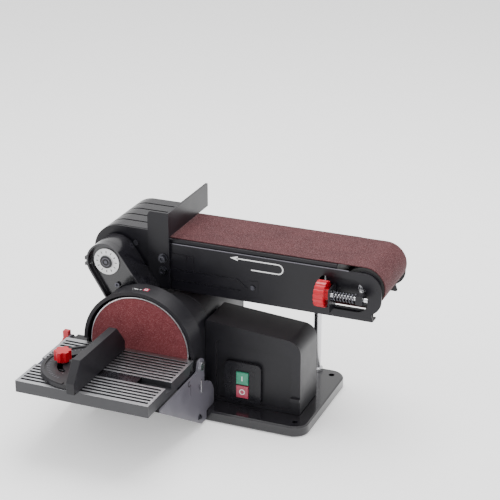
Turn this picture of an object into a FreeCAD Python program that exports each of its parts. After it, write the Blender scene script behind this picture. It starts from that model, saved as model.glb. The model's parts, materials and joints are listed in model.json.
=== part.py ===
import FreeCAD, Part
import math
import os

# Belt and disc sander, in millimetres.
# Origin: centre of the four bench holes, on the underside of the base.
# +X runs along the sanding belt to its free end, +Y to the back, +Z up.

SIZES = {
    "mitre_pivot_x": -92,
    "base_length": 370, "base_depth": 188, "base_height": 15, "base_corner": 22,
    "base_wall": 3, "hole_radius": 4.25, "hole_span_x": 332, "hole_span_y": 154,
    "foot_radius": 10, "foot_drop": 1.5, "foot_span_x": 250, "foot_span_y": 150,
    "axle_x": -50, "axle_z": 111.5, "shaft_radius": 6, "bearing_radius": 14,
    "bearing_width": 10,
    "motor_left": -104, "motor_right": 22, "motor_top": 163, "motor_front": -38,
    "motor_back": 80, "shell_wall": 3.5, "stator_radius": 46, "rotor_radius": 26,
    "disc_radius": 75, "paper_radius": 73.4, "disc_face": -124, "disc_thick": 9,
    "paper_thick": 1.2, "guard_radius": 82, "guard_wall": 3, "guard_front": -127,
    "guard_back": -90, "guard_bottom": 18,
    "drum_x": -118, "drum_z": 214, "drum_radius": 29, "belt_front": -31,
    "belt_width": 100, "belt_thick": 1.2, "roller_distance": 364,
    "idler_radius": 28.3, "cover_radius": 40, "cover_right": -66, "sheet": 2.5,
    "arm_front": -88, "arm_back": -45, "arm_radius": 29, "arm_wall": 3,
    "arm_foot_radius": 33, "recess": 8, "dial_radius": 19.5, "hub_radius": 9.5,
    "sleeve_radius": 20, "running_gap": 0.05,
    "drum_pulley_radius": 18, "motor_pulley_radius": 10.5,
    "pulley_width": 14, "pulley_front": -74,
    "table_left": -162.5, "table_width": 197, "table_front": -270.5,
    "table_depth": 144, "table_top": 108.2, "table_thick": 17,
    "groove_width": 4.2, "groove_depth": 2.6, "groove_pitch": 7.8,
    "slot_y": -207, "slot_width": 19, "slot_depth": 9,
    "pivot_y": -110, "pivot_z": 93, "pivot_radius": 4,
    "knob_radius": 18.5, "tracking_y": -54, "tracking_z": 206, "screw_radius": 3,
    "post_x": 140, "post_y": 84, "post_radius": 6,
    "stop_x": -41.5, "stop_thick": 3,
    "switch_x": 80, "switch_z": 48, "button_width": 18, "button_height": 19,
}

doc = FreeCAD.newDocument("belt_disc_sander")
sheet = doc.addObject("Spreadsheet::Sheet", "Sizes")
for row, (alias, number) in enumerate(SIZES.items(), start=1):
    sheet.set("A%d" % row, alias)
    sheet.set("B%d" % row, str(number))
    sheet.setAlias("B%d" % row, alias)
doc.recompute()

NODES = []
UP = FreeCAD.Vector(0, 0, 1)
TURN_TO_Y = FreeCAD.Rotation(FreeCAD.Vector(1, 0, 0), -90)
TURN_TO_X = FreeCAD.Rotation(FreeCAD.Vector(0, 1, 0), 90)


def size(alias):
    """A driving dimension, read back from the sheet."""
    return float(sheet.get(alias))


def linked(formula):
    """The same formula with every alias written as a cell of the sheet."""
    words = formula.replace("(", " ( ").replace(")", " ) ").split()
    return " ".join("Sizes." + word if word in SIZES else word for word in words)


def bind(item, prop, amount):
    """Sets a property to a number, or binds it to a formula of sheet aliases."""
    if isinstance(amount, str):
        item.setExpression(prop, linked(amount))
    elif "." in prop:
        item.setExpression(prop, repr(float(amount)))
    else:
        setattr(item, prop, amount)


def place(item, at, turn=None):
    if turn is not None:
        item.Placement = FreeCAD.Placement(FreeCAD.Vector(), turn)
    for axis, amount in zip("xyz", at):
        bind(item, "Placement.Base." + axis, amount)
    return item


def box(lengths, at):
    item = doc.addObject("Part::Box", "block")
    for prop, amount in zip(("Length", "Width", "Height"), lengths):
        bind(item, prop, amount)
    return place(item, at)


def rod(radius, length, at, along="z"):
    """A round bar from the point `at`, growing towards the positive axis."""
    item = doc.addObject("Part::Cylinder", "bar")
    bind(item, "Radius", radius)
    bind(item, "Height", length)
    return place(item, at, {"x": TURN_TO_X, "y": TURN_TO_Y, "z": None}[along])


def fuse(parts):
    item = doc.addObject("Part::MultiFuse", "joined")
    item.Shapes = parts
    return item


def cut(base, tools):
    item = doc.addObject("Part::Cut", "cut")
    item.Base = base
    item.Tool = tools[0] if len(tools) == 1 else fuse(tools)
    return item


def ring(outer, inner, length, at, along="y"):
    return cut(rod(outer, length, at, along), [rod(inner, length, at, along)])


def group(pieces):
    """Separate solids kept in one node."""
    item = doc.addObject("Part::Compound", "set")
    item.Links = pieces
    return item


def node(label, item):
    item.Label = label
    NODES.append(item)
    return item


def rounded(corners):
    """Closed outline through (x, y, radius) corners, with an arc at each round one."""
    count = len(corners)
    entries = []
    for index, (x, y, radius) in enumerate(corners):
        here = FreeCAD.Vector(x, y, 0)
        before = FreeCAD.Vector(*corners[index - 1][:2], 0) - here
        after = FreeCAD.Vector(*corners[(index + 1) % count][:2], 0) - here
        before.normalize()
        after.normalize()
        half = before.getAngle(after) / 2
        if radius <= 0:
            entries.append((here, here, None))
            continue
        reach = radius / math.tan(half)
        bisector = (before + after).normalize()
        middle = here + bisector * (radius / math.sin(half) - radius)
        entries.append((here + before * reach, here + after * reach, middle))
    edges = []
    for index, (start, end, middle) in enumerate(entries):
        if middle is not None:
            edges.append(Part.Arc(start, middle, end))
        following = entries[(index + 1) % count][0]
        if (following - end).Length > 1e-6:
            edges.append(Part.LineSegment(end, following))
    return edges


def circle(x, y, radius):
    return [Part.Circle(FreeCAD.Vector(x, y, 0), UP, radius)]


def capsule(x1, y1, r1, x2, y2, r2):
    """Two circles of different size joined by their common tangents."""
    first, second = FreeCAD.Vector(x1, y1, 0), FreeCAD.Vector(x2, y2, 0)
    axis = second - first
    heading = math.atan2(axis.y, axis.x)
    lean = math.acos((r1 - r2) / axis.Length)

    def around(centre, radius, angle):
        return centre + FreeCAD.Vector(math.cos(angle), math.sin(angle), 0) * radius

    left1, right1 = around(first, r1, heading + lean), around(first, r1, heading - lean)
    left2, right2 = around(second, r2, heading + lean), around(second, r2, heading - lean)
    return [
        Part.Arc(left1, around(first, r1, heading + math.pi), right1),
        Part.LineSegment(right1, right2),
        Part.Arc(right2, around(second, r2, heading), left2),
        Part.LineSegment(left2, left1),
    ]


def prism(plane, loops, depth, offset):
    """A sketched outline padded towards the positive axis, from `offset` along it."""
    body = doc.addObject("PartDesign::Body", "profile")
    origin = [f for f in body.Origin.OriginFeatures if f.Role == plane + "_Plane"][0]
    sketch = body.newObject("Sketcher::SketchObject", "outline")
    sketch.AttachmentSupport = [(origin, "")]
    sketch.MapMode = "FlatFace"
    for loop in loops:
        for edge in loop:
            sketch.addGeometry(edge, False)
    pad = body.newObject("PartDesign::Pad", "pad")
    pad.Profile = sketch
    pad.Reversed = plane == "XZ"
    bind(pad, "Length", depth)
    spot = {"XZ": (0, offset, 0), "YZ": (offset, 0, 0), "XY": (0, 0, offset)}[plane]
    return place(body, spot)


def mirrored_spots(span_x, span_y):
    """Four corner spots, as formulas of the spans."""
    for sign_x in (1, -1):
        for sign_y in (1, -1):
            yield "%s * %s / 2" % (span_x, sign_x), "%s * %s / 2" % (span_y, sign_y)


def socket_screw(at, along, head, shank, length, head_length=4):
    """Socket head screw whose head starts at `at`; the shank follows along the axis."""
    x, y, z = at
    step = {"x": (head_length, 0, 0), "y": (0, head_length, 0), "z": (0, 0, head_length)}[along]
    body = fuse([rod(head, head_length, at, along),
                 rod(shank, length, (x + step[0], y + step[1], z + step[2]), along)])
    return cut(body, [rod(head * 0.5, head_length * 0.6, at, along)])


# Base, feet and motor ---------------------------------------------------------

def make_base():
    half_x, half_y = size("base_length") / 2, size("base_depth") / 2
    corner, wall = size("base_corner"), size("base_wall")

    def plan(inset, height, offset):
        x, y, r = half_x - inset, half_y - inset, corner - inset
        outline = rounded([(-x, -y, r), (x, -y, r), (x, y, r), (-x, y, r)])
        return prism("XY", [outline], height, offset)

    top = doc.addObject("Part::Chamfer", "edge")
    top.Base = plan(0, "base_height", 0)
    doc.recompute()
    rim = [index + 1 for index, edge in enumerate(top.Base.Shape.Edges)
           if min(vertex.Z for vertex in edge.Vertexes) > size("base_height") - 0.01]
    top.Edges = [(index, 2.0, 2.0) for index in rim]
    hollow = plan(wall, "base_height - base_wall", 0)
    spots = list(mirrored_spots("hole_span_x", "hole_span_y"))
    bosses = [rod(9, "base_height - 1", (x, y, 0)) for x, y in spots]
    holes = [rod("hole_radius", "base_height + 2", (x, y, -1)) for x, y in spots]
    node("base_plate", cut(fuse([cut(top, [hollow])] + bosses), holes))
    feet = [rod("foot_radius", "base_height - base_wall + foot_drop", (x, y, "0 - foot_drop"))
            for x, y in mirrored_spots("foot_span_x", "foot_span_y")]
    node("rubber_feet", group(feet))


def motor_outline(inset):
    left, right = size("motor_left") + inset, size("motor_right") - inset
    low, high = size("base_height") + 0.1 + inset, size("motor_top") - inset
    return rounded([(left, low, 8 - inset), (right, low, 8 - inset),
                    (right, high, 48 - inset), (left, high, 48 - inset)])


def make_motor():
    wall = size("shell_wall")
    shell = cut(prism("XZ", [motor_outline(0)], "motor_back - motor_front", "motor_front"),
                [prism("XZ", [motor_outline(wall)], "motor_back - motor_front", "motor_front + 4")])
    hub = rod("bearing_radius + 4", 10, ("axle_x", "motor_front + 2", "axle_z"), "y")
    seat = rod("bearing_radius", 20, ("axle_x", "motor_front + 2", "axle_z"), "y")
    opening = rod("bearing_radius - 5", 20, ("axle_x", "motor_front - 5", "axle_z"), "y")
    node("motor_housing", cut(fuse([shell, hub]), [seat, opening]))

    plate = fuse([prism("XZ", [motor_outline(0)], 5, "motor_back + 0.1"),
                  rod("bearing_radius + 4", 14, ("axle_x", "motor_back - 12", "axle_z"), "y")])
    slots = [box((4, 12, 52), (-78 + 9 * index, 78, 86)) for index in range(7)]
    keep = rod("bearing_radius + 4.5", 40, ("axle_x", "motor_back - 20", "axle_z"), "y")
    rear_seat = rod("bearing_radius", 12, ("axle_x", "motor_back - 12", "axle_z"), "y")
    vents = cut(fuse(slots), [keep])
    node("motor_rear_cover", cut(plate, [vents, rear_seat]))

    arm = drive_outline(0.5)
    front = cut(prism("XZ", [motor_outline(0)], "motor_front - arm_front - 2.3", "arm_front + 2"),
                [prism("XZ", [motor_outline(wall)], "motor_front - arm_front", "arm_front + 5"),
                 prism("XZ", [arm], "motor_front - arm_front + 6", "arm_front - 3")])
    node("motor_front_cover", front)

    windings = [rod(42, 8, ("axle_x", y, "axle_z"), "y") for y in (-29, 35)]
    core = rod("stator_radius", 57, ("axle_x", -21.5, "axle_z"), "y")
    bore = rod("rotor_radius + 1.5", 90, ("axle_x", -40, "axle_z"), "y")
    node("stator", cut(fuse([core] + windings), [bore]))
    bearings = [ring("bearing_radius", "shaft_radius", "bearing_width", ("axle_x", y, "axle_z"))
                for y in ("motor_front + 2", "motor_back - 12")]
    node("motor_bearings", group(bearings))
    node("rotor_core", ring("rotor_radius", "shaft_radius", 54, ("axle_x", -20, "axle_z")))
    fan = [ring(12, "shaft_radius", 8, ("axle_x", 46, "axle_z"))]
    blade = [box((1.5, 8, 22), (-0.75, 46, 10)) for _ in range(9)]
    for index, item in enumerate(blade):
        turn = FreeCAD.Rotation(FreeCAD.Vector(0, 1, 0), 40 * index)
        shift = turn.multVec(FreeCAD.Vector(-0.75, 46, 10))
        place(item, ("axle_x + %.4f" % shift.x, shift.y, "axle_z + %.4f" % shift.z), turn)
    node("motor_fan", fuse(fan + blade))
    node("motor_shaft", rod("shaft_radius", 191, ("axle_x", "disc_face + 3", "axle_z"), "y"))
    node("motor_pulley", pulley("motor_pulley_radius", "axle_x", "axle_z"))


def pulley(radius, x, z):
    rim = [rod(radius, "pulley_width", (x, "pulley_front", z), "y"),
           rod(radius + " + 2", 1.5, (x, "pulley_front - 1.5", z), "y"),
           rod(radius + " + 2", 1.5, (x, "pulley_front + pulley_width", z), "y")]
    return cut(fuse(rim), [rod("shaft_radius", 40, (x, "pulley_front - 10", z), "y")])


# Disc, guard and table --------------------------------------------------------

def make_disc():
    plate = rod("disc_radius", "disc_thick", ("axle_x", "disc_face + paper_thick", "axle_z"), "y")
    hub = rod(16, 12, ("axle_x", "disc_face + paper_thick + disc_thick - 1", "axle_z"), "y")
    bore = rod("shaft_radius", 40, ("axle_x", "disc_face + 3", "axle_z"), "y")
    node("disc_plate", cut(fuse([plate, hub]), [bore]))
    node("abrasive_disc", rod("paper_radius", "paper_thick", ("axle_x", "disc_face", "axle_z"), "y"))


def make_guard():
    x, z, radius = size("axle_x"), size("axle_z"), size("guard_radius")
    wall, low = size("guard_wall"), size("guard_bottom")

    def hood(inset):
        r = radius - inset
        return rounded([(x - r, low + inset, 10), (x + r, low + inset, 10),
                        (x + r, z + r, r - 0.01), (x - r, z + r, r - 0.01)])

    outer = prism("XZ", [hood(0)], "guard_back - guard_front", "guard_front")
    inner = prism("XZ", [hood(wall)], "guard_back - guard_front", "guard_front - guard_wall")
    shaft_hole = rod("shaft_radius + 14", 12, ("axle_x", "guard_back - 6", "axle_z"), "y")
    lip = cut(prism("XZ", [hood(-2.2)], 3, "guard_front"), [prism("XZ", [hood(1)], 9, "guard_front - 3")])
    front = cut(prism("XZ", [hood(0.5)], 2.5, "guard_front - 0.5"),
                [box((200, 20, 120), (x - 100, -140, 86)),
                 rod(9, 20, ("axle_x", -140, 40), "y")])
    wing = box((36, 18, 18), (-158.3, -119, 84))
    pivot_hole = rod("pivot_radius + running_gap", 60, (-175, "pivot_y", "pivot_z"), "x")
    notch = box((200, 7.4, 26), (-160, "guard_front - 4", 87))
    ear_room = box((6, 20, 52), (32.05, "guard_front - 4", 58))
    keep = rod("guard_radius - guard_wall / 2", 60, ("axle_x", -130, "axle_z"), "y")
    wings = cut(wing, [keep, pivot_hole])
    port = cut(rod(12.6, 34, (-117.6, "guard_back - 1", 46), "y"),
               [rod(10.4, 60, (-117.6, "guard_back - 20", 46), "y")])
    shell = cut(fuse([cut(outer, [inner]), lip, front]),
                [shaft_hole, notch, ear_room, rod(10.4, 20, (-117.6, "guard_back - 10", 46), "y")])
    node("disc_guard", fuse([shell, wings, port]))


def support_profile():
    """Side plate that carries the table, in the YZ plane."""
    return rounded([(-119, 104, 8.9), (-101, 104, 8.9), (-101, 62, 2), (-68, 62, 32),
                    (-68, 15.4, 6), (-94.6, 15.4, 0), (-94.6, 3, 3), (-112, 3, 8),
                    (-240, 84, 2), (-240, 89.5, 1), (-124, 89.5, 4)])


def make_table():
    top, thick = size("table_top"), size("table_thick")
    left, front = size("table_left"), size("table_front")
    slab = box(("table_width", "table_depth", "table_thick"),
               ("table_left", "table_front", "table_top - table_thick"))
    hollow = box(("table_width - 10", "table_depth - 30", "table_thick - 11.2"),
                 ("table_left + 5", "table_front + 5", "table_top - table_thick"))
    slot = box(("table_width + 2", "slot_width", "slot_depth"),
               ("table_left - 1", "slot_y - slot_width / 2", "table_top - slot_depth"))
    back_grooves = [-191.6 + size("groove_pitch") * index for index in range(8)]
    front_grooves = [-222.6 - size("groove_pitch") * index for index in range(6)]
    grooves = [box(("table_width - 8", "groove_width", "groove_depth"),
                   ("table_left + 4", y - size("groove_width") / 2, "table_top - groove_depth"))
               for y in back_grooves + front_grooves]
    back = front + size("table_depth")
    low = top - thick
    bevel = prism("YZ", [rounded([(back - 15.2, low - 0.1, 0), (back + 1, low - 0.1, 0),
                                  (back + 1, low + 16.1, 0)])], "table_width + 2", "table_left - 1")
    node("table_top", cut(slab, [hollow, slot, bevel] + grooves))

    ear = rounded([(-180, low - 0.1, 0), (-180, low - 9, 3), (-101, 84, 8.9), (-101, 102, 8.9),
                   (-119, 102, 8.9), (-122, low - 0.1, 2)])
    hole = circle(size("pivot_y"), size("pivot_z"), size("pivot_radius") + 0.05)
    ears = [prism("YZ", [ear, hole], 2, x) for x in (-161, 32.4)]
    node("table_brackets", group(ears))
    outline = support_profile()
    pivot = circle(size("pivot_y"), size("pivot_z"), size("pivot_radius") + size("running_gap"))
    slot_hole = capsule(-118, 66, 1.6, -118, 60, 1.6)
    right_plate = prism("YZ", [outline, pivot, slot_hole], 3, 36)
    left_plate = prism("YZ", [outline, pivot], 3, -166.5)
    lug = box((8, 3, 9), (28, -97.4, 4))
    node("table_support_right", fuse([right_plate, lug]))
    node("table_support_left", fuse([left_plate, box((8, 3, 9), (-163.5, -97.4, 4))]))
    pins = [rod("pivot_radius", 8, (32.2, "pivot_y", "pivot_z"), "x"),
            rod(6.5, 2, (39.1, "pivot_y", "pivot_z"), "x")]
    node("table_pivot_pin", fuse(pins))
    node("tilt_index", fuse([box((0.8, 1.2, 18), (39, -112.6, 52)), box((0.8, 3, 3), (39, -113.5, 70))]))
    stud = [rod("pivot_radius", 20, (-178, "pivot_y", "pivot_z"), "x")]
    grip = [rod(7, 9, (-176, "pivot_y", "pivot_z"), "x")]
    grip += [box((9, 8, 17), (-176, -114, 93))]
    wings = [box((9, 28, 7), (-176, -124, 89.5))]
    node("tilt_lock_knob", fuse(stud + grip + wings))


def make_mitre():
    top, slot_y = size("table_top"), size("slot_y")
    node("mitre_bar", fuse([box((150, "slot_width - 0.3", 7.6),
                                (-160, "slot_y - slot_width / 2 + 0.15", "table_top - 8.4")),
                            rod(3.9, 17, ("mitre_pivot_x", "slot_y", "table_top - 1.5")),
                            rod(3, 17, (-124, "slot_y", "table_top - 1.5"))]))
    head = fuse([
        prism("XY", [rounded([(-79.7, slot_y - 62, 0), (-79.7, slot_y + 62, 0),
                              (-150, slot_y + 62, 61.9), (-150, slot_y - 62, 61.9)])],
              6, "table_top + 0.4"),
        rod(10, 9, ("mitre_pivot_x", "slot_y", "table_top + 0.4")),
    ])
    arc_slot = cut(cut(rod(36, 20, ("mitre_pivot_x", "slot_y", top - 4)),
                       [rod(28, 20, ("mitre_pivot_x", "slot_y", top - 4))]),
                   [box((60, 100, 30), (-107, slot_y - 50, top - 8))])
    pivot_hole = rod(3.95, 30, ("mitre_pivot_x", "slot_y", top - 5))
    node("mitre_head", cut(head, [arc_slot, pivot_hole]))
    low = top + 0.5
    face = rounded([(-280, low, 0), (-280, low + 16, 1), (-260, low + 42, 1), (-154, low + 42, 1),
                    (-131.6, low + 14, 1), (-131.6, low, 0)])
    node("mitre_fence", prism("YZ", [face], 12, -79.5))
    knob = fuse([rod(12, 14, (-124, "slot_y", top + 9.5)), rod(8, 3, (-124, "slot_y", top + 6.8))])
    flutes = [rod(4.2, 20, (-124 + 14 * math.cos(math.radians(60 * index)),
                            slot_y + 14 * math.sin(math.radians(60 * index)), top + 9.2))
              for index in range(6)]
    node("mitre_knob", cut(knob, flutes + [rod(3.05, 14, (-124, "slot_y", top + 2))]))


# Drive arm --------------------------------------------------------------------

def drive_outline(grow):
    return capsule(size("drum_x"), size("drum_z"), size("arm_radius") + grow,
                   size("axle_x"), size("axle_z"), size("arm_foot_radius") + grow)


def make_drive():
    wall, step = size("arm_wall"), 12
    case = cut(prism("XZ", [drive_outline(0)], "arm_back - arm_front - 12", "arm_front + 12"),
               [prism("XZ", [drive_outline(-wall)], 60, "arm_back - 3 - 60")])
    collar = rod("sleeve_radius + 6", 9, ("drum_x", "arm_back - 9", "drum_z"), "y")
    bore = rod("sleeve_radius + running_gap", 30, ("drum_x", "arm_back - 20", "drum_z"), "y")
    shaft_hole = rod("shaft_radius + 2", 30, ("axle_x", "arm_back - 20", "axle_z"), "y")
    lugs = [box((11, 14, 5), (-156, size("arm_front") + step, 209 + shift)) for shift in (-8.5, 0)]
    slit = box((14, 50, 3.4), (-157, size("arm_front") + step - 1, 205.1))
    screw_hole = rod(2.05, 30, (-151.5, -69, 190))
    body = cut(fuse([case, collar] + lugs), [bore, shaft_hole, slit, screw_hole])
    node("drive_housing", body)
    face = cut(prism("XZ", [drive_outline(0)], step - 0.1, "arm_front"),
               [prism("XZ", [drive_outline(-wall)], "recess", "arm_front")])
    side_slit = box((12, 8, 3.4), (-151, size("arm_front") + 4, 205.1))
    node("drive_cover", cut(face, [side_slit, rod("shaft_radius + 1", 30,
                                                  ("axle_x", "arm_front - 5", "axle_z"), "y")]))
    ring_y = "arm_front + recess - 2.2"
    node("angle_dial", group([
        ring("dial_radius", "hub_radius + 0.3", 2, ("drum_x", ring_y, "drum_z")),
        rod("hub_radius", 3.4, ("drum_x", "arm_front + recess - 3.6", "drum_z"), "y")]))
    node("clamp_screw", fuse([rod(2, 18, (-151.5, -69, 199.5)), rod(3.4, 3, (-151.5, -69, 214.1))]))
    node("drum_pulley", pulley("drum_pulley_radius", "drum_x", "drum_z"))
    belt = []
    for grow in (2.4, 0.3):
        belt.append(capsule(size("drum_x"), size("drum_z"), size("drum_pulley_radius") + grow,
                            size("axle_x"), size("axle_z"), size("motor_pulley_radius") + grow))
    node("drive_belt", cut(prism("XZ", [belt[0]], "pulley_width - 1", "pulley_front + 0.5"),
                           [prism("XZ", [belt[1]], "pulley_width + 4", "pulley_front - 2")]))


# Belt frame -------------------------------------------------------------------

def frame_outline():
    return rounded([(-142, 182, 22), (-142, 237, 22), (273, 237, 25), (273, 187, 22), (259, 178, 3),
                    (263, 167.5, 2), (-63, 167.5, 2), (-63, 182, 3)])


def make_belt_frame():
    front_y, back_y = size("belt_front") - 7.4, size("belt_front") + size("belt_width") + 4.9
    window = rounded([(184, 179, 8), (250, 179, 16), (257, 204, 10), (238, 226, 8), (184, 226, 8)])
    hole = circle(size("drum_x"), size("drum_z"), 9)
    screw_holes = [circle(-47.5, z, 3) for z in (197, 216)]
    front = prism("XZ", [frame_outline(), window, hole] + screw_holes, "sheet", front_y)
    back_hole = circle(size("drum_x"), size("drum_z"), size("bearing_radius"))
    lever_hole = circle(190, 214, 5.05)
    back = prism("XZ", [frame_outline(), window_back(), back_hole, lever_hole], "sheet", back_y)
    webs = [box(("sheet", back_y - front_y, 39), (x, front_y + 1, 188.5)) for x in (-72, 168)]
    tabs = [box((22, 2, 9), (-36, front_y - 1.9, 214))]
    lips = [box((76, 14, 2), (186, front_y + 1, 167.6)), box((74, 1.8, 13.5), (187, -34.2, 169.5))]
    stem_hole = rod(6.05, 20, (160, 19, 214), "x")
    shell = cut(fuse([front, back] + webs + tabs + lips), [stem_hole])
    node("belt_frame", shell)
    deck = fuse([box((284, 108.8, 2.6), (-76, -35.4, 240.2)),
                 box((284, 2, 14), (-76, -35.5, 228)), box((284, 2, 14), (-76, 71.4, 228))])
    node("platen", deck)
    rest = fuse([box((32, 2.5, 20), (124, 76.6, 182.3)), box((32, 16, 3), (124, 76.6, 182.3)),
                 box((2.5, 14, 14), (124, 77, 184)), box((2.5, 14, 14), (153.5, 77, 184))])
    node("rest_bracket", rest)


def window_back():
    return rounded([(206, 190, 8), (236, 190, 8), (236, 224, 8), (206, 224, 8)])


def make_drum_cover():
    x, z, radius = size("drum_x"), size("drum_z"), size("cover_radius")
    right = size("cover_right")

    def shell_outline(inset):
        r = radius - inset
        return rounded([(x - r, z - r, r - 0.01), (right + inset, z - r, 1), (right + inset, z + r, 1),
                        (x - r, z + r, r - 0.01)])

    bands = []
    length = 23.5
    start = -38.2
    for index in range(5):
        y = start + length * index
        bands.append(prism("XZ", [shell_outline(1.4)], length, y))
        bands.append(prism("XZ", [shell_outline(0)], length - 3, y + 1.5))
    inner = rounded([(x - radius + 3.6, z - radius + 3.6, radius - 3.61),
                     (right + 20, z - radius + 3.6, 1), (right + 20, z + radius - 3.6, 1),
                     (x - radius + 3.6, z + radius - 3.6, radius - 3.61)])
    cavity = prism("XZ", [inner], 115.8, -39)
    hub = rod("bearing_radius + 3", 20, ("drum_x", 70, "drum_z"), "y")
    node("drum_cover", cut(fuse(bands), [cavity, hub]))
    plate = prism("XZ", [shell_outline(0), circle(x, z, 15)], 2.2, -40.8)
    sleeve = cut(rod("sleeve_radius", 14.8, ("drum_x", "arm_back - 8.6", "drum_z"), "y"),
                 [rod("bearing_radius", "bearing_width", ("drum_x", "arm_back - 8.6", "drum_z"), "y"),
                  rod(8.5, 30, ("drum_x", "arm_back - 20", "drum_z"), "y")])
    node("end_plate", fuse([plate, sleeve]))


def make_drum():
    node("drum_shaft", rod("shaft_radius", 153, ("drum_x", "arm_front + 14", "drum_z"), "y"))
    node("drive_drum", ring("drum_radius", "shaft_radius", "belt_width + 1",
                            ("drum_x", "belt_front - 0.5", "drum_z")))
    node("drum_bearings", group([
        ring("bearing_radius", "shaft_radius", "bearing_width", ("drum_x", y, "drum_z"))
        for y in ("arm_back - 8.6", 71.5)]))


def belt_loop(grow):
    return capsule(size("drum_x"), size("drum_z"), size("drum_radius") + grow,
                   size("drum_x") + size("roller_distance"), size("drum_z"),
                   size("drum_radius") + grow)


def make_idler():
    x = size("drum_x") + size("roller_distance")
    node("abrasive_belt", cut(prism("XZ", [belt_loop(0.05 + size("belt_thick"))], "belt_width", "belt_front"),
                              [prism("XZ", [belt_loop(0.05)], "belt_width + 4", "belt_front - 2")]))
    yoke = fuse([box((4, 84, 30), (186, -23, 199)), rod(6, 26, (162, 19, 214), "x")])
    node("idler_yoke", yoke)
    arm = rounded([(x - 22, 198, 3), (x, 188, 26), (x + 25, 196, 12), (x + 25, 232, 20), (x, 239.6, 12),
                   (x - 22, 227, 3), (192.4, 227, 1), (192.4, 198, 1)])
    axle_hole = circle(x, 214, size("screw_radius") + 2)
    front_arm = prism("XZ", [arm, axle_hole], 2, -34.4)
    back_arm = prism("XZ", [arm, axle_hole], 2, 70.4)
    web = box((2.4, 106.8, 27), (192.4, -34.4, 199))
    link = fuse([box((6, 16, 6), (244, -50, 200)), box((10, 12, 13), (243, -60, 199.5))])
    screw_bore = rod(4.4, 14, (241, "tracking_y", "tracking_z"), "x")
    node("idler_bracket", cut(fuse([front_arm, back_arm, web, link]), [screw_bore]))
    node("idler_roller", ring("idler_radius", 5.05, 101, (x, -31.5, 214)))
    node("idler_axle", group([
        fuse([rod(5, 107, (x, -34.5, 214), "y"), rod(7, 1.0, (x, -35.5, 214), "y")]),
        rod(3.2, 0.9, (x + 14, -35.4, 226), "y")]))


def make_tracking():
    y, z = size("tracking_y"), size("tracking_z")
    knob = rod("knob_radius", 14, (187, "tracking_y", "tracking_z"), "x")
    flutes = [rod(2.2, 16, (186, y + 19.4 * math.cos(math.radians(360 / 18 * index)),
                            z + 19.4 * math.sin(math.radians(360 / 18 * index))), "x")
              for index in range(18)]
    hub = rod(8, 4, (200.9, "tracking_y", "tracking_z"), "x")
    screw = rod("screw_radius", 69, (190, "tracking_y", "tracking_z"), "x")
    node("tracking_knob", cut(fuse([cut(knob, flutes), hub]), [rod("screw_radius", 20, (190, "tracking_y", "tracking_z"), "x")]))
    node("tracking_screw", screw)
    flange = box((13.4, 2.4, 8.6), (195, -41, 182.9))
    upright = box((2.4, 26.2, 34), (206, -64.6, 183))
    hole = rod(3.1, 10, (202, "tracking_y", "tracking_z"), "x")
    node("tracking_bracket", cut(fuse([flange, upright]), [hole]))
    coil_radius, wire = 6.2, 0.9
    helix = Part.makeHelix(4.3, 34 - 2 * wire, coil_radius)
    profile = Part.Wire(Part.Circle(FreeCAD.Vector(coil_radius, 0, 0), FreeCAD.Vector(0, 1, 0.11), wire).toShape())
    coil = doc.addObject("Part::Feature", "coil")
    coil.Shape = Part.Wire(helix.Edges).makePipeShell([profile], True, True)
    coil.Placement = FreeCAD.Placement(FreeCAD.Vector(208.6 + wire, y, z), TURN_TO_X)
    node("tracking_spring", coil)


def make_work_stop():
    front = rounded([(-71, 169, 2), (-38.5, 169, 2), (-38.5, 284, 0), (-68, 284, 2), (-71, 278, 2)])
    holes = [circle(-47.5, z, 3.1) for z in (197, 216)]
    flange = prism("XZ", [front] + holes, "stop_thick", -44.2)
    plate = prism("YZ", [rounded([(-44.2, 248, 0), (93.6, 248, 2), (93.6, 284, 2), (-44.2, 284, 0)])],
                  "stop_thick", "stop_x")
    node("work_stop", fuse([flange, plate]))
    screws = [fuse([socket_screw((-47.5, -50.6, z), "y", 5, 3, 9), ring(7, 3, 1.6, (-47.5, -46, z))])
              for z in (197, 216)]
    screws += [socket_screw((x, -43.4, z), "y", 4, 2, 0.1, 2.5) for x, z in ((-91, 232), (-91, 190))]
    node("frame_screws", group(screws))


def make_tension_lever():
    pin = rod(5, 14, (190, 74, 214), "y")
    hub = rod(10, 7, (190, 77.2, 214), "y")
    arm = prism("XZ", [capsule(190, 214, 8, 138, 214, 6)], 5, 79)
    grip = rod(8, 12, (136, 79, 214), "y")
    node("tension_lever", fuse([pin, hub, arm, grip]))


# Switch -----------------------------------------------------------------------

def switch_profile(inset):
    return rounded([(22.3 + inset, 15.1, 2), (166 - inset, 15.1, 2), (166 - inset, 126.5 - inset, 20),
                    (22.3 + inset, 138 - inset, 2)])


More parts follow.
